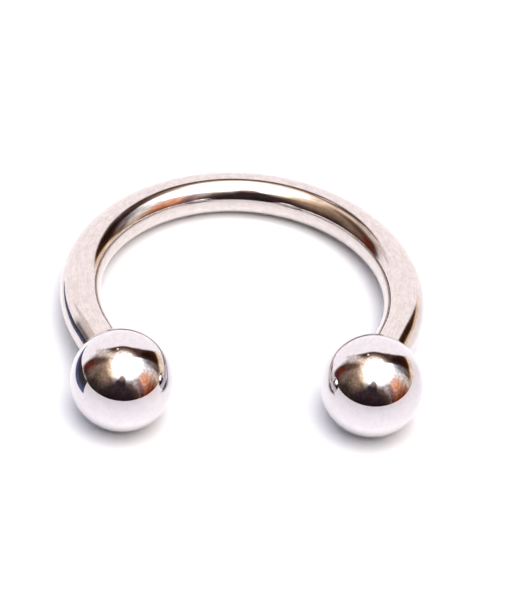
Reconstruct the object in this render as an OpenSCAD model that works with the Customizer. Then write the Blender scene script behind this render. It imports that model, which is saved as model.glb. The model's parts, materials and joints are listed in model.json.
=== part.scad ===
// Circular barbell: a round bar bent into a horseshoe, with a ball screwed on each end.
// It lies as it does on a table, on its two balls and on the back of the bend.
// +Z is up, the opening faces -Y, and the origin is under the middle of the outline.

/* [Bar] */
// Diameter of the round bar; 14 gauge is 1.6
bar_d = 1.6; // [1.4:0.1:2]
// Diameter of the hole inside the bend; 7/16 inch is 11.1
inside_d = 11.1; // [9:0.1:14]
// Angle that the bend turns through
bend_angle = 223; // [205:1:240]
// Straight length from each end of the bend to the centre of its ball
straight_l = 3; // [2.7:0.1:4]

/* [Balls] */
// Diameter of each ball
ball_d = 4; // [3.8:0.1:5]
// Gap between the bar and the wall of the ball's hole
hole_clearance = 0.03; // [0.02:0.01:0.06]
// Width of the broken edge round the mouth of the hole
mouth_chamfer = 0.1; // [0.05:0.01:0.15]
// Depth of the threaded hole past the centre of the ball
hole_past_centre = 1; // [0.9:0.05:1.1]
// Depth of the tap drill past the centre of the ball
drill_past_centre = 1.15; // [1.1:0.05:1.3]
// Included angle of the drill point
drill_point = 118; // [90:1:140]

/* [Thread] */
// Distance between neighbouring turns of the thread; M1.6 is 0.35
pitch = 0.35; // [0.3:0.05:0.4]
// How much smaller the thread is than the bar, in radius
crest_relief = 0.01; // [0.01:0.01:0.03]
// Length of the threaded stud past the centre of the ball
stud_past_centre = 0.8; // [0.6:0.05:0.85]
// Distance that the plain bar reaches into the hole
bar_in_hole = 0.12; // [0.1:0.01:0.2]
// Width of the bevel at the tip of the stud
tip_bevel = 0.12; // [0.08:0.01:0.16]

/* [Hidden] */
$fn = 96;
STEEL = [0.80, 0.78, 0.77];
LEFT = -1;
RIGHT = 1;

// Bend and ends, in the plane of the ring with the bend's centre at the origin
// The straight ends run into the bend by join_overlap, so that they weld into one solid
join_overlap = 0.0001;
bar_r = bar_d / 2;
ball_r = ball_d / 2;
arc_r = (inside_d + bar_d) / 2;
half_gap = (360 - bend_angle) / 2;
ball_x = arc_r * sin(half_gap) - straight_l * cos(half_gap);
ball_front = arc_r * cos(half_gap) + straight_l * sin(half_gap);

// Lying pose: both balls and the back of the bend touch z = 0
tilt = asin((ball_r - bar_r) / (arc_r + ball_front));
centre_z = bar_r + arc_r * sin(tilt);
centre_y = ((ball_front - arc_r) * cos(tilt) + ball_r - bar_r) / 2;

// Hole in each ball, along the axis of its stud
hole_r = bar_r + hole_clearance;
mouth_r = hole_r + mouth_chamfer;
hole_mouth = sqrt(ball_r * ball_r - hole_r * hole_r);
chamfer_mouth = sqrt(ball_r * ball_r - mouth_r * mouth_r);
past_surface = 0.2;

// Thread with 60 degree flanks, as on an ISO metric screw
crest_r = bar_r - crest_relief;
root_r = crest_r - 0.61343 * pitch;
drill_r = bar_r - 0.54127 * pitch;
drill_cone = drill_r / tan(drill_point / 2);
thread_start = hole_mouth - bar_in_hole;
thread_l = thread_start + stud_past_centre;
crest_w = pitch / 8;
sunk = 0.03;
sunk_r = root_r - sunk;
sunk_w = crest_w + 2 * (crest_r - sunk_r) * tan(30);
turn_steps = 24;
fade_steps = 12;
ridge_steps = floor((thread_l - tip_bevel - sunk_w) / pitch * turn_steps);
CORNERS = 4;

// Puts a child from the ring's own plane into the lying pose
module lying() {
    translate([0, centre_y, centre_z])
        rotate([-tilt, 0, 0])
            children();
}

// Puts a child that runs along +Z on a stud: z = 0 at the ball's centre, +Z out of the bar's end
module on_stud(side) {
    heading = side == RIGHT ? 180 + half_gap : -half_gap;
    lying()
        translate([side * ball_x, -ball_front, 0])
            rotate([0, 90, heading])
                children();
}

// Height of the thread ridge as a share of its full height: it fades out at both ends
function ridge_share(i) = min(1, i / fade_steps, (ridge_steps - i) / fade_steps);

// Cross-section of the ridge at step i of the helix, from its lower to its upper foot
function ridge_section(i) =
    let (
        angle = i * 360 / turn_steps,
        z = i * pitch / turn_steps,
        top_r = sunk_r + sunk / 2 + (crest_r - sunk_r - sunk / 2) * ridge_share(i),
        out = [cos(angle), sin(angle)]
    )
    [
        [sunk_r * out.x, sunk_r * out.y, z - sunk_w / 2],
        [top_r * out.x, top_r * out.y, z - crest_w / 2],
        [top_r * out.x, top_r * out.y, z + crest_w / 2],
        [sunk_r * out.x, sunk_r * out.y, z + sunk_w / 2]
    ];

// Right-handed helical ridge that starts at z = 0
module thread_ridge() {
    points = [for (i = [0:ridge_steps]) each ridge_section(i)];
    sides = [
        for (i = [0:ridge_steps - 1], c = [0:CORNERS - 1])
            let (
                a = i * CORNERS + c,
                b = i * CORNERS + (c + 1) % CORNERS
            )
            each [[a, b, a + CORNERS], [b, b + CORNERS, a + CORNERS]]
    ];
    last = ridge_steps * CORNERS;
    ends = [[0, 2, 1], [0, 3, 2], [last, last + 1, last + 2], [last, last + 2, last + 3]];
    polyhedron(points, concat(sides, ends), convexity = 20);
}

// Straight end of the bar with its threaded stud, turned about the stud's axis
module bar_end() {
    rotate_extrude()
        polygon([
            [0, -straight_l - join_overlap],
            [bar_r, -straight_l - join_overlap],
            [bar_r, -thread_start],
            [root_r, -thread_start + (bar_r - root_r)],
            [root_r, stud_past_centre - tip_bevel],
            [root_r - tip_bevel, stud_past_centre],
            [0, stud_past_centre]
        ]);
    translate([0, 0, sunk_w / 2 - thread_start])
        thread_ridge();
}

module horseshoe_bar() {
    color(STEEL) {
        lying()
            rotate([0, 0, half_gap - 90])
                rotate_extrude(angle = bend_angle)
                    translate([arc_r, 0])
                        circle(r = bar_r);
        on_stud(LEFT)
            bar_end();
        on_stud(RIGHT)
            bar_end();
    }
}

// Ball with its blind hole; the hole opens towards -Z
module ball() {
    difference() {
        sphere(r = ball_r);
        translate([0, 0, -ball_r - past_surface])
            cylinder(r = hole_r, h = ball_r + past_surface + hole_past_centre);
        translate([0, 0, -ball_r - past_surface])
            cylinder(r = drill_r, h = ball_r + past_surface + drill_past_centre);
        translate([0, 0, drill_past_centre])
            cylinder(r1 = drill_r, r2 = 0, h = drill_cone);
        translate([0, 0, -chamfer_mouth - past_surface])
            cylinder(
                r1 = mouth_r + past_surface,
                r2 = 0,
                h = mouth_r + past_surface
            );
    }
}

module left_ball() {
    color(STEEL)
        on_stud(LEFT)
            ball();
}

module right_ball() {
    color(STEEL)
        on_stud(RIGHT)
            ball();
}

horseshoe_bar();
left_ball();
right_ball();
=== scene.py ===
"""Looks of the circular barbell: a polished steel bar bent into a horseshoe, with two screw-on balls.

Lengths are in millimetres, and MM turns them into metres when a mesh or a material is made.
"""

import json
import math

import bpy
from mathutils import Matrix, Vector


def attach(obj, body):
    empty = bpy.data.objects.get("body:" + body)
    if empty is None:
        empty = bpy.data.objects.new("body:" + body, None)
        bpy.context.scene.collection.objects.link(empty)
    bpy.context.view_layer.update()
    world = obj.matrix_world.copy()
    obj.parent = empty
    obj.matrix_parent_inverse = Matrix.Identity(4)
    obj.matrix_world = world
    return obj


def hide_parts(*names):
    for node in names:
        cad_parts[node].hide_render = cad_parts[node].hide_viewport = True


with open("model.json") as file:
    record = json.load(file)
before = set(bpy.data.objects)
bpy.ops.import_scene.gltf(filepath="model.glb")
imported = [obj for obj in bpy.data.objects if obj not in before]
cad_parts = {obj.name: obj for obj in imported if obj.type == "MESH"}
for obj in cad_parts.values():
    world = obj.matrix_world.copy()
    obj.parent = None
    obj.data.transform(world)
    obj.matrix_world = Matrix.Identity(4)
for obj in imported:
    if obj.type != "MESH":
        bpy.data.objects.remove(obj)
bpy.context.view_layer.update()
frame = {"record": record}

MM = 0.001
MICRON = MM / 1000
TURN = 2 * math.pi
LEFT = -1
RIGHT = 1

# ---------------------------------------------------------------- driving dimensions
BAR_R = frame["record"]["mounts"][0]["dims"]["r_mm"]
INSIDE_D = 11.1
BEND = math.radians(223)
STRAIGHT_L = 3.0
BALL_R = 2.0

# The hole in a ball. Its two depths are measured from the ball's centre, and LIP_TURN holds places
# on its rounded lip, outward from the mouth's edge and inward along the hole
HOLE_CLEARANCE = 0.03
MOUTH_CHAMFER = 0.1
LIP_ROUND = 0.03
LIP_TURN = ((0.009, 0.004), (-0.015, 0.018))
HOLE_DEPTH = 1.0
DRILL_DEPTH = 1.15
DRILL_POINT = math.radians(118)
GROOVE_DEPTH = 0.09

# The thread, M1.6 x 0.35 with the standard's depths. STUD_L too is measured from the ball's centre
PITCH = 0.35
OUTER_DEPTH = 0.61343 * PITCH
INNER_DEPTH = 0.54127 * PITCH
CREST_W = PITCH / 8
CREST_CLEARANCE = 0.01
CREST_SINK = 0.03
STUD_L = 0.8
TIP_BEVEL = 0.12
BAR_IN_HOLE = 0.12

# How finely the meshes are cut
BAR_SEGMENTS = 96
BALL_SEGMENTS = 128
BEND_STEP = math.radians(1)
BALL_STEP = math.radians(2.5)
FLANK_STEPS = 3
SHARP_ANGLE = math.radians(32)
SHOULDER_EDGE = 0.02

# ---------------------------------------------------------------- light
# STEEL_SHARE is the part of a mirrored light that the steel gives back, and WOBBLE is in degrees
STEEL_SHARE = 0.62
GAMMA = 2.2
CEILING = (4.8, 4.8, 4.8)
WHITE = (1.0, 1.0, 1.0)
WOBBLE = 5.0
WOBBLE_SCALE = 3.5

# Most of a noise texture's values lie between these
NOISE_LOW = 0.3
NOISE_HIGH = 0.7

# ---------------------------------------------------------------- where the pieces are
ARC_R = INSIDE_D / 2 + BAR_R
HALF_GAP = (TURN - BEND) / 2
BALL_X = ARC_R * math.sin(HALF_GAP) - STRAIGHT_L * math.cos(HALF_GAP)
BALL_FRONT = ARC_R * math.cos(HALF_GAP) + STRAIGHT_L * math.sin(HALF_GAP)
TILT = math.asin((BALL_R - BAR_R) / (ARC_R + BALL_FRONT))
CENTRE_Z = BAR_R + ARC_R * math.sin(TILT)
CENTRE_Y = ((BALL_FRONT - ARC_R) * math.cos(TILT) + BALL_R - BAR_R) / 2

HOLE_R = BAR_R + HOLE_CLEARANCE
MOUTH_R = HOLE_R + MOUTH_CHAMFER
MOUTH_Z = -math.sqrt(BALL_R**2 - MOUTH_R**2)
BORE_START = MOUTH_Z + MOUTH_CHAMFER
DRILL_R = BAR_R - INNER_DEPTH

CREST_R = BAR_R - CREST_CLEARANCE
ROOT_R = CREST_R - OUTER_DEPTH
FLANK = 1 / math.tan(math.radians(30))
THREAD_START = BAR_IN_HOLE - math.sqrt(BALL_R**2 - HOLE_R**2)
THREAD_END = STUD_L - TIP_BEVEL
CREST_Z = THREAD_START + CREST_W / 2 + (OUTER_DEPTH + CREST_SINK) / FLANK

# The ring's own plane, laid on the table so that both balls and the back of the bend touch it
LYING = Matrix.Translation((0, CENTRE_Y, CENTRE_Z)) @ Matrix.Rotation(-TILT, 4, "X")


def stud_frame(side):
    """Stud coordinates to the row frame: z = 0 at the ball's centre, +z out of the bar's end."""
    heading = math.pi + HALF_GAP if side == RIGHT else -HALF_GAP
    place = Matrix.Translation((side * BALL_X, -BALL_FRONT, 0))
    return LYING @ place @ Matrix.Rotation(heading, 4, "Z") @ Matrix.Rotation(math.pi / 2, 4, "Y")


# ---------------------------------------------------------------- meshes
class Skin:
    """A closed surface of revolution or sweep, built ring by ring. Each point keeps its
    place on the straightened bar, and how far it is a cut surface and not a polished one."""

    def __init__(self):
        self.points = []
        self.flat = []
        self.cut = []
        self.faces = []

    def add(self, point, flat, cut):
        self.points.append(point)
        self.flat.append(flat)
        self.cut.append(cut)
        return len(self.points) - 1

    def face(self, *corners):
        """Adds a face, leaving out corners that fell together."""
        kept = [c for i, c in enumerate(corners) if c != corners[i - 1]]
        if len(set(kept)) == len(kept) and len(kept) > 2:
            self.faces.append(kept)

    def band(self, ring_a, ring_b):
        count = len(ring_a)
        for j in range(count):
            k = (j + 1) % count
            self.face(ring_a[j], ring_a[k], ring_b[k], ring_b[j])

    def fan(self, ring, tip):
        for j, corner in enumerate(ring):
            self.face(corner, ring[(j + 1) % len(ring)], tip)

    def make(self, name, body, node, material):
        mesh = bpy.data.meshes.new(name)
        mesh.from_pydata([p * MM for p in self.points], [], self.faces)
        mesh.attributes.new("flat", "FLOAT_VECTOR", "POINT")
        mesh.attributes["flat"].data.foreach_set("vector", [c for f in self.flat for c in f])
        mesh.attributes.new("cut", "FLOAT", "POINT")
        mesh.attributes["cut"].data.foreach_set("value", self.cut)
        mesh.validate()
        mesh.shade_smooth()
        mesh.set_sharp_from_angle(angle=SHARP_ANGLE)
        mesh.materials.append(material)
        piece = bpy.data.objects.new(name, mesh)
        bpy.context.scene.collection.objects.link(piece)
        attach(piece, body)
        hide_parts(node)
        return piece


class Lathe:
    """Adds points to a skin in cylindrical coordinates about one axis."""

    def __init__(self, skin, matrix, segments, flat_start, flat_sense):
        self.skin = skin
        self.matrix = matrix
        self.segments = segments
        self.flat_start = flat_start
        self.flat_sense = flat_sense

    def point(self, j, radius, z, cut=0.0):
        angle = TURN * j / self.segments
        x = radius * math.cos(angle)
        y = radius * math.sin(angle)
        flat = (x, self.flat_sense * y, self.flat_start + self.flat_sense * z)
        return self.skin.add(self.matrix @ Vector((x, y, z)), flat, cut)

    def ring(self, radius, z, cut=0.0):
        return [self.point(j, radius, z, cut) for j in range(self.segments)]

    def thread(self, first, last, start_z, end_z, crest_z, rows, radius_at):
        """Right-handed helical skin between two rings. rows are places within one pitch, and
        radius_at(row, z) is the radius there."""
        per_turn = self.segments
        first_step = math.floor((start_z - crest_z) / PITCH - 1) * per_turn
        last_step = math.ceil((end_z - crest_z) / PITCH + 1) * per_turn
        made = {}

        def corner(k, step):
            if k == len(rows):
                return corner(0, step + per_turn)
            z = crest_z + PITCH * (step / per_turn + rows[k])
            if z <= start_z:
                return first[step % per_turn]
            if z >= end_z:
                return last[step % per_turn]
            if (k, step) not in made:
                made[k, step] = self.point(step % per_turn, radius_at(rows[k], z), z, cut=1.0)
            return made[k, step]

        for step in range(first_step, last_step):
            for k in range(len(rows)):
                self.skin.face(
                    corner(k, step), corner(k, step + 1), corner(k + 1, step + 1), corner(k + 1, step)
                )


def crest_height(row, half_crest, depth, slope):
    """Share of the full height of a 60 degree thread at a place within one pitch."""
    off = abs(row - round(row)) * PITCH
    return max(0.0, 1 - max(0.0, off - half_crest) * slope / depth)


def fade(z, start_z, end_z, length):
    """0 at both ends of the thread, 1 between them."""
    return max(0.0, min(1.0, (z - start_z) / length, (end_z - z) / length))


def thread_rows(half_crest, depth, slope):
    """Places within one pitch: the edges of the crest and of the root, and steps between them."""
    middle = 0.5
    furthest_foot = 0.46
    crest = half_crest / PITCH
    foot = min(furthest_foot, crest + depth / slope / PITCH)
    flank_w = foot - crest
    flank = [crest + flank_w * i / (FLANK_STEPS + 1) for i in range(FLANK_STEPS + 2)]
    half = flank + [(foot + middle) / 2]
    return [0.0] + half + [middle] + [1 - h for h in reversed(half)]


def add_stud(skin, side, joined, flat_start, flat_sense):
    """The straight end of the bar with its threaded stud, from the ring `joined` to the tip."""
    lathe = Lathe(skin, stud_frame(side), BAR_SEGMENTS, flat_start, flat_sense)

    def radius_at(row, z):
        shoulder = BAR_R - (z - THREAD_START)
        ridge = OUTER_DEPTH * crest_height(row, CREST_W / 2, OUTER_DEPTH, FLANK)
        thread = ROOT_R + ridge * fade(z, THREAD_START, THREAD_END, PITCH / 2)
        return max(ROOT_R, shoulder, thread)

    ring = joined
    outside_ball = -STRAIGHT_L * 0.75
    for z in (outside_ball, THREAD_START - SHOULDER_EDGE):
        following = lathe.ring(BAR_R, z)
        skin.band(ring, following)
        ring = following
    edge = lathe.ring(BAR_R, THREAD_START, cut=1.0)
    skin.band(ring, edge)
    end = lathe.ring(ROOT_R, THREAD_END, cut=1.0)
    rows = thread_rows(CREST_W / 2, OUTER_DEPTH, FLANK)
    lathe.thread(edge, end, THREAD_START, THREAD_END, CREST_Z, rows, radius_at)
    tip_r = ROOT_R - TIP_BEVEL
    tip = lathe.ring(tip_r, STUD_L, cut=1.0)
    skin.band(end, tip)
    inner = lathe.ring(tip_r / 2, STUD_L, cut=1.0)
    skin.band(tip, inner)
    skin.fan(inner, lathe.point(0, 0.0, STUD_L, cut=1.0))


def make_bar(material):
    """The bend as a swept tube, with a stud at each end, in one closed mesh."""
    skin = Skin()
    steps = round(BEND / BEND_STEP)
    normal = Vector((0, 0, -1))
    left_end = math.pi * 1.5 - HALF_GAP
    rings = []
    for i in range(steps + 1):
        bent = BEND * i / steps
        angle = left_end - bent
        out = Vector((math.cos(angle), math.sin(angle), 0))
        along = Vector((math.sin(angle), -math.cos(angle), 0))
        side = along.cross(normal)
        ring = []
        for j in range(BAR_SEGMENTS):
            turn = TURN * j / BAR_SEGMENTS
            x = BAR_R * math.cos(turn)
            y = BAR_R * math.sin(turn)
            place = LYING @ (out * ARC_R + normal * x + side * y)
            ring.append(skin.add(place, flat=(x, y, ARC_R * bent), cut=0.0))
        rings.append(ring)
    for ring, following in zip(rings, rings[1:]):
        skin.band(ring, following)
    add_stud(skin, RIGHT, rings[-1], flat_start=ARC_R * BEND + STRAIGHT_L, flat_sense=1)
    turned = [rings[0][-j % BAR_SEGMENTS] for j in range(BAR_SEGMENTS)]
    add_stud(skin, LEFT, turned, flat_start=-STRAIGHT_L, flat_sense=-1)
    return skin.make("polished_bar", "bar", node="horseshoe_bar", material=material)


def make_ball(side, name, body, material):
    """A ball turned about its stud's axis, with its chamfered, tapped blind hole."""
    skin = Skin()
    lathe = Lathe(skin, stud_frame(side), BALL_SEGMENTS, flat_start=0.0, flat_sense=1)
    lip = math.asin((MOUTH_R + LIP_ROUND) / BALL_R)
    steps = math.ceil((math.pi - lip) / BALL_STEP)
    pole = lathe.point(0, 0.0, BALL_R)
    ring = None
    for i in range(1, steps + 1):
        angle = (math.pi - lip) * i / steps
        following = lathe.ring(BALL_R * math.sin(angle), BALL_R * math.cos(angle))
        if ring is None:
            skin.fan(following, pole)
        else:
            skin.band(ring, following)
        ring = following
    mouth = [(MOUTH_R + outward, MOUTH_Z + inward) for outward, inward in LIP_TURN]
    for radius, z in [*mouth, (HOLE_R, BORE_START)]:
        following = lathe.ring(radius, z, cut=0.5)
        skin.band(ring, following)
        ring = following

    def radius_at(row, z):
        groove = crest_height(row, CREST_W / 2, GROOVE_DEPTH, FLANK)
        return HOLE_R + GROOVE_DEPTH * groove * fade(z, BORE_START, HOLE_DEPTH, PITCH / 2)

    floor_edge = lathe.ring(HOLE_R, HOLE_DEPTH, cut=1.0)
    rows = thread_rows(CREST_W / 2, GROOVE_DEPTH, FLANK)
    lathe.thread(ring, floor_edge, BORE_START, HOLE_DEPTH, CREST_Z, rows, radius_at)
    ring = floor_edge
    for radius, z in ((DRILL_R, HOLE_DEPTH), (DRILL_R, DRILL_DEPTH)):
        following = lathe.ring(radius, z, cut=1.0)
        skin.band(ring, following)
        ring = following
    point_z = DRILL_DEPTH + DRILL_R / math.tan(DRILL_POINT / 2)
    skin.fan(ring, lathe.point(0, 0.0, point_z, cut=1.0))
    return skin.make(name, body, node=body, material=material)


# ---------------------------------------------------------------- node helpers
class Nodes:
    """Short names for making and joining shader nodes."""

    def __init__(self, tree):
        self.tree = tree
        tree.nodes.clear()

    def add(self, kind, **settings):
        node = self.tree.nodes.new(kind)
        for name, value in settings.items():
            setattr(node, name, value)
        return node

    def put(self, socket, value):
        if isinstance(value, bpy.types.NodeSocket):
            self.tree.links.new(value, socket)
        else:
            socket.default_value = value

    def math(self, operation, *values):
        node = self.add("ShaderNodeMath", operation=operation)
        for socket, value in zip(node.inputs, values):
            self.put(socket, value)
        return node.outputs[0]

    def vector(self, operation, *values):
        node = self.add("ShaderNodeVectorMath", operation=operation)
        for socket, value in zip(node.inputs, values):
            self.put(socket, value)
        return node.outputs["Vector"]

    def split(self, vector):
        node = self.add("ShaderNodeSeparateXYZ")
        self.put(node.inputs[0], vector)
        return node.outputs

    def noise(self, vector, scale, detail=2.0, roughness=0.5):
        node = self.add("ShaderNodeTexNoise")
        self.put(node.inputs["Vector"], vector)
        node.inputs["Scale"].default_value = scale
        node.inputs["Detail"].default_value = detail
        node.inputs["Roughness"].default_value = roughness
        return node.outputs["Fac"]

    def step(self, value, low, high, to_low=0.0, to_high=1.0):
        """A soft step, from to_low at low to to_high at high."""
        node = self.add("ShaderNodeMapRange", interpolation_type="SMOOTHSTEP")
        names = ("Value", "From Min", "From Max", "To Min", "To Max")
        for name, given in zip(names, (value, low, high, to_low, to_high)):
            self.put(node.inputs[name], given)
        return node.outputs["Result"]

    def mix(self, share, a, b):
        node = self.add("ShaderNodeMix", data_type="RGBA")
        self.put(node.inputs["Factor"], share)
        for name, value in (("A", a), ("B", b)):
            socket = [s for s in node.inputs if s.name == name and s.type == "RGBA"][0]
            self.put(socket, value if isinstance(value, bpy.types.NodeSocket) else (*value, 1.0))
        return [s for s in node.outputs if s.type == "RGBA"][0]

    def bump(self, height, distance):
        node = self.add("ShaderNodeBump")
        self.put(node.inputs["Height"], height)
        node.inputs["Distance"].default_value = distance
        node.inputs["Strength"].default_value = 1.0
        return node.outputs["Normal"]


class Material(Nodes):
    """A material with one Principled shader, whose sockets are set by name."""

    def __init__(self, name):
        self.material = bpy.data.materials.new(name)
        self.material.use_nodes = True
        super().__init__(self.material.node_tree)
        self.shader = self.add("ShaderNodeBsdfPrincipled")
        out = self.add("ShaderNodeOutputMaterial")
        self.put(out.inputs["Surface"], self.shader.outputs[0])

    def set(self, name, value):
        self.put(self.shader.inputs[name], value)


# ---------------------------------------------------------------- materials
def make_steel(name, light, dark, polish, haze, streak, wave_um):
    """Polished stainless steel. Its coordinates are those of the straightened bar, in millimetres,
    and a streak below 1 draws its marks out along it. Cut surfaces, as on a thread, are duller."""
    m = Material(name)
    flat = m.add("ShaderNodeAttribute", attribute_name="flat").outputs["Vector"]
    cut = m.add("ShaderNodeAttribute", attribute_name="cut").outputs["Fac"]
    cut_darkness = 0.5
    cut_tone = tuple(part * 0.55 for part in dark)
    cut_roughness = 0.16

    cloud = m.noise(flat, scale=4.5, detail=4.0, roughness=0.65)
    drawn_out = m.vector("MULTIPLY", flat, (1.0, 1.0, streak))
    marks = m.noise(drawn_out, scale=14.0, detail=4.0, roughness=0.65)
    grain = m.noise(flat, scale=30.0)
    smudge = m.step(m.noise(flat, scale=0.9, detail=4.0, roughness=0.6), 0.45, 0.75)

    tone = m.math("ADD", m.math("MULTIPLY", cloud, 0.5), m.math("MULTIPLY", marks, 0.5))
    bright = m.mix(m.step(tone, 0.38, 0.62), dark, light)
    m.set("Base Color", m.mix(m.math("MULTIPLY", cut, cut_darkness), bright, cut_tone))

    rough = m.math("MULTIPLY_ADD", marks, haze, polish)
    rough = m.math("MULTIPLY_ADD", smudge, haze, rough)
    m.set("Roughness", m.math("MULTIPLY_ADD", cut, cut_roughness, rough))
    m.set("Metallic", 1.0)

    marks_height = 0.12
    grain_height = 0.03
    half_drawn_out = m.vector("MULTIPLY", flat, (1.0, 1.0, min(1.0, streak * 2)))
    swell = m.noise(half_drawn_out, scale=1.1, detail=1.0)
    height = m.math("MULTIPLY_ADD", marks, marks_height, swell)
    height = m.math("MULTIPLY_ADD", grain, grain_height, height)
    m.set("Normal", m.bump(height, wave_um * MICRON))
    return m.material


def make_floor_material():
    """Smooth white card with a faint fibre, glossy enough to tint the grazing reflections."""
    m = Material("white_card")
    place = m.add("ShaderNodeTexCoord").outputs["Object"]
    fibre = m.noise(place, scale=4.0 / MM, detail=4.0)
    m.set("Base Color", m.mix(fibre, (0.90, 0.895, 0.90), (0.92, 0.915, 0.92)))
    m.set("Roughness", m.step(fibre, NOISE_LOW, NOISE_HIGH, to_low=0.28, to_high=0.38))
    m.set("Specular IOR Level", 0.4)
    m.set("Normal", m.bump(fibre, 2 * MICRON))
    return m.material


def make_flag_material():
    """Near-black card with a faint fibre and a dark blue foot, seen only in the steel: its colours are
    a painted dark reflection.
    """
    m = Material("reflection_only_card")
    place = m.add("ShaderNodeTexCoord").outputs["Object"]
    fibre = m.noise(place, scale=0.9 / MM, detail=3.0)
    # Painted reflection colours: a dark blue foot, then near black higher up
    foot = m.mix(fibre, (0.04, 0.06, 0.14), (0.16, 0.22, 0.42))
    top = m.mix(fibre, (0.010, 0.008, 0.010), (0.045, 0.038, 0.04))
    height = m.split(place)[2]
    m.set("Base Color", m.mix(m.step(height, 0.3 * MM, 2.0 * MM), foot, top))
    m.set("Roughness", m.step(fibre, NOISE_LOW, NOISE_HIGH, to_low=0.6, to_high=0.8))
    return m.material


# ---------------------------------------------------------------- stage
def make_floor():
    """A round table top, far wider than the camera sees."""
    radius = 3000 * MM
    sides = 96
    rim = []
    for i in range(sides):
        angle = TURN * i / sides
        rim.append((radius * math.cos(angle), radius * math.sin(angle), 0))
    mesh = bpy.data.meshes.new("floor")
    mesh.from_pydata(rim, [], [list(range(sides))])
    mesh.materials.append(make_floor_material())
    floor = bpy.data.objects.new("floor", mesh)
    bpy.context.scene.collection.objects.link(floor)


def direction(azimuth, elevation):
    """The direction at these degrees. Azimuth 0 is in front of the ring (-Y), 90 at its right (+X)."""
    a = math.radians(azimuth)
    e = math.radians(elevation)
    return Vector((math.sin(a) * math.cos(e), -math.cos(a) * math.cos(e), math.sin(e)))


def make_sun(name, azimuth, elevation, angle, strength, colour):
    """A wide, soft sun lights the floor evenly. It doesn't show in the steel."""
    light = bpy.data.lights.new(name, "SUN")
    light.energy = strength
    light.angle = math.radians(angle)
    light.color = colour
    lamp = bpy.data.objects.new(name, light)
    back = direction(azimuth, elevation)
    lamp.rotation_mode = "QUATERNION"
    lamp.rotation_quaternion = back.to_track_quat("Z", "Y")
    lamp.location = back
    lamp.visible_glossy = False
    bpy.context.scene.collection.objects.link(lamp)


def make_flag():
    """A low dark card at the left of the ring, just out of the picture, that nothing but a mirrored ray
    can see. It is a painted dark reflection: it draws the dark line along the left arm and ball."""
    x = -11.6
    front = -6.8
    middle = front / 2
    back = 5.5
    high = 3.0
    low = 0.45
    outline = ((front, 0), (back, 0), (back, low), (middle, high), (front, high))
    mesh = bpy.data.meshes.new("flag")
    mesh.from_pydata([Vector((x, y, z)) * MM for y, z in outline], [], [list(range(len(outline)))])
    mesh.materials.append(make_flag_material())
    flag = bpy.data.objects.new("flag", mesh)
    flag.visible_camera = False
    flag.visible_diffuse = False
    flag.visible_shadow = False
    bpy.context.scene.collection.objects.link(flag)


def seen(red, green, blue):
    """The light that polished steel shows as this colour, in steps of 255."""
    return tuple((part / 255) ** GAMMA / STEEL_SHARE for part in (red, green, blue))


class Room(Nodes):
    """The studio that the steel mirrors, painted on the world by azimuth and elevation in degrees,
    which are those of direction(). Diffuse rays don't see it, as the suns light the floor."""

    def __init__(self):
        world = bpy.data.worlds.new("studio")
        world.use_nodes = True
        world.cycles_visibility.diffuse = False
        bpy.context.scene.world = world
        super().__init__(world.node_tree)
        self.look = self.add("ShaderNodeTexCoord").outputs["Generated"]
        x, y, z = self.split(self.look)
        azimuth = self.math("DEGREES", self.math("ARCTAN2", x, self.math("MULTIPLY", y, -1.0)))
        elevation = self.math("DEGREES", self.math("ARCSINE", z))
        elsewhere = self.vector("ADD", self.look, (5.0, 3.0, 1.0))
        self.azimuth = self.math("ADD", azimuth, self.wobble(self.look))
        self.elevation = self.math("ADD", elevation, self.wobble(elsewhere))
        self.colour = None

    def wobble(self, place):
        """Degrees either way, so that no painted edge is quite straight."""
        sway = self.noise(place, scale=WOBBLE_SCALE, detail=1.0)
        return self.math("MULTIPLY_ADD", sway, WOBBLE, WOBBLE * -0.5)

    def fill(self, low, high, low_at, high_at):
        """A whole-sky gradient from low to high between two elevations."""
        self.colour = self.mix(self.step(self.elevation, low_at, high_at), low, high)

    def scaled_power(self, angle, half_size, power):
        """The angle as a share of a half size, to a power."""
        ratio = self.math("DIVIDE", angle, float(half_size))
        return self.math("POWER", self.math("ABSOLUTE", ratio), power)

    def patch(
        self, azimuth, elevation, wide, high, foot, top=None, soft=0.25, square=3.0, lean=0.0, slope=0.0
    ):
        """A rounded patch centred on a direction. wide and high are its half sizes in degrees,
        and its colour goes from foot to top. square is 2 for an oval and more for a box, and
        soft is the share of its size that its edge takes. lean moves its upper part to the right,
        and slope raises its right side, in degrees a degree."""
        rise = self.math("SUBTRACT", self.elevation, float(elevation))
        off = self.math("SUBTRACT", self.azimuth, float(azimuth))
        off = self.math("WRAP", off, 180.0, -180.0)
        if slope:
            rise = self.math("MULTIPLY_ADD", off, -slope, rise)
        if lean:
            off = self.math("MULTIPLY_ADD", rise, -lean, off)
        across = self.scaled_power(off, wide, square)
        up = self.scaled_power(rise, high, square)
        far = self.math("POWER", self.math("ADD", across, up), 1.0 / square)
        inside = self.step(far, 1.0 - soft, 1.0 + soft, to_low=1.0, to_high=0.0)
        colour = seen(*foot)
        if top is not None:
            turns_at = -high * 0.45
            top_at = high * 0.9
            colour = self.mix(self.step(rise, turns_at, top_at), colour, seen(*top))
        self.colour = self.mix(inside, self.colour, colour)

    def mottle(self):
        """Blotches in everything painted so far."""
        blotch = self.noise(self.look, scale=10.0)
        strength = self.step(blotch, NOISE_LOW, NOISE_HIGH, to_low=0.68, to_high=1.22)
        node = self.add("ShaderNodeVectorMath", operation="SCALE")
        self.put(node.inputs[0], self.colour)
        self.put(node.inputs["Scale"], strength)
        self.colour = node.outputs["Vector"]

    def finish(self):
        """Shows the room to the steel, and a plain white backdrop to the camera."""
        path = self.add("ShaderNodeLightPath")
        back = self.add("ShaderNodeBackground")
        self.put(back.inputs["Color"], self.mix(path.outputs["Is Camera Ray"], self.colour, WHITE))
        out = self.add("ShaderNodeOutputWorld")
        self.put(out.inputs["Surface"], back.outputs[0])


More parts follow.
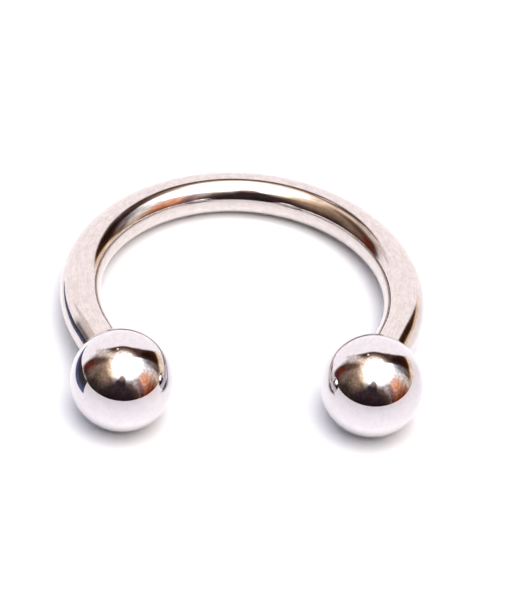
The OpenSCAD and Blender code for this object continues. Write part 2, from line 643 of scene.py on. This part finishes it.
def paint_behind(room):
    """The white backdrop behind the ring, with a dark edge above it."""
    room.patch(175, 48, 45, 8, (74, 54, 47), soft=0.2, square=4)
    room.patch(175, 58, 47, 7, (70, 51, 44), (150, 125, 110), soft=0.25, square=4)
    room.patch(180, 8, 45, 44, (244, 238, 241), soft=0.06, square=3.2)
    room.patch(-134, 4, 17, 19, (244, 238, 241), soft=0.3, square=3)
    room.patch(-162, 58, 3, 2, (255, 250, 245), soft=0.4, square=2)


def paint_left(room):
    """A pale panel and a brown wall, whose top slopes down to the front."""
    room.patch(-170, 60, 80, 14, (240, 212, 190), (250, 238, 226), soft=0.4, square=3)
    room.patch(-72, 36, 48, 30, (150, 120, 100), (252, 226, 198), soft=0.22, square=5, slope=-0.22)
    room.patch(-131, 44, 14, 17, (205, 192, 187), (222, 206, 190), soft=0.2, square=3)
    room.patch(-72, 24, 46, 29, (52, 45, 42), (147, 123, 104), soft=0.2, square=6, slope=-0.22)
    room.patch(-105, 26, 9, 32, (62, 40, 44), (104, 83, 73), soft=0.4, square=4)
    room.patch(-106, 18, 8, 11, (96, 46, 32), soft=0.7, square=2)
    room.patch(-89, 24, 9, 14, (112, 94, 84), (138, 116, 104), soft=0.8, square=2)


def paint_front(room):
    """A dark figure with a lighter head, and brown at its right side."""
    room.patch(20, 12, 21, 31, (62, 42, 34), (132, 112, 97), soft=0.4, square=3)
    room.patch(32, 34, 6, 11, (150, 134, 128), (220, 216, 217), soft=0.6, square=2.5)
    room.patch(-10, 6, 38, 43, (28, 20, 24), (62, 50, 53), soft=0.35, square=2.2)
    room.patch(-4, 45, 12, 14, (50, 38, 42), (158, 134, 124), soft=0.4, square=2.2)
    room.patch(-16, 41, 6, 5, (50, 51, 56), soft=0.8, square=2)


def paint_right(room):
    """A warm thing, then pale and grey walls, and a leaning dark column over a cream glow."""
    room.patch(60, 14, 20, 31, (114, 55, 23), (226, 170, 148), soft=0.3, square=2.5)
    room.patch(61, 30, 12, 9, (220, 148, 112), (234, 176, 146), soft=0.8, square=2)
    room.patch(42, 14, 5, 27, (92, 50, 40), (150, 130, 132), soft=0.6, square=3)
    room.patch(79, 15, 6, 28, (146, 106, 84), (226, 202, 186), soft=0.6, square=3)
    room.patch(91, 20, 8, 32, (188, 168, 152), (226, 228, 233), soft=0.5, square=3)
    room.patch(104, 22, 8, 28, (104, 84, 72), (126, 130, 138), soft=0.5, square=3)
    room.patch(124, 34, 15, 29, (72, 40, 14), (104, 88, 86), soft=0.25, square=3.5, lean=0.1)
    room.patch(122, 34, 10, 18, (40, 27, 25), soft=0.6, square=2.5, lean=0.1)
    room.patch(122, 0, 24, 9, (240, 212, 182), soft=0.5, square=2.5)


def make_room():
    """A bright ceiling over walls, a figure and a backdrop. Later patches cover earlier ones."""
    room = Room()
    room.fill(seen(225, 225, 228), CEILING, low_at=40, high_at=54)
    paint_left(room)
    paint_front(room)
    paint_right(room)
    room.mottle()
    paint_behind(room)
    room.finish()


def make_camera():
    """The photograph's viewpoint: a long lens, from the front and above, slightly rolled."""
    distance = 194.2
    roll = math.radians(5.68)
    target = Vector((0.842, 1.134, 0.0))
    back = direction(azimuth=-5.95, elevation=46.67)
    right = (-back).cross(Vector((0, 0, 1))).normalized()
    up = right.cross(-back)
    turned_right = right * math.cos(roll) + up * math.sin(roll)
    turned_up = up * math.cos(roll) - right * math.sin(roll)
    data = bpy.data.cameras.new("camera")
    data.sensor_width = 36.0
    data.lens = 294.8
    data.clip_start = MM
    data.clip_end = 20000 * MM
    camera = bpy.data.objects.new("camera", data)
    place = Matrix((turned_right, turned_up, back)).transposed().to_4x4()
    place.translation = (target + back * distance) * MM
    camera.matrix_world = place
    bpy.context.scene.collection.objects.link(camera)
    bpy.context.scene.camera = camera


make_camera()
bar_steel = make_steel(
    "bar_steel_polished",
    light=(0.65, 0.6, 0.578),
    dark=(0.56, 0.505, 0.478),
    polish=0.05,
    haze=0.05,
    streak=0.12,
    wave_um=4.5,
)
ball_steel = make_steel(
    "ball_steel_polished",
    light=(0.65, 0.62, 0.64),
    dark=(0.59, 0.56, 0.57),
    polish=0.015,
    haze=0.02,
    streak=1.0,
    wave_um=0.8,
)
make_bar(bar_steel)
make_ball(LEFT, "polished_ball_left", "left_ball", ball_steel)
make_ball(RIGHT, "polished_ball_right", "right_ball", ball_steel)
make_floor()
make_room()
make_flag()
make_sun("key", azimuth=33, elevation=73, angle=56, strength=4.35, colour=(1.0, 0.965, 0.955))
make_sun("fill", azimuth=-120, elevation=58, angle=80, strength=1.15, colour=(0.72, 0.78, 1.0))
bpy.context.scene.view_settings.view_transform = "Standard"
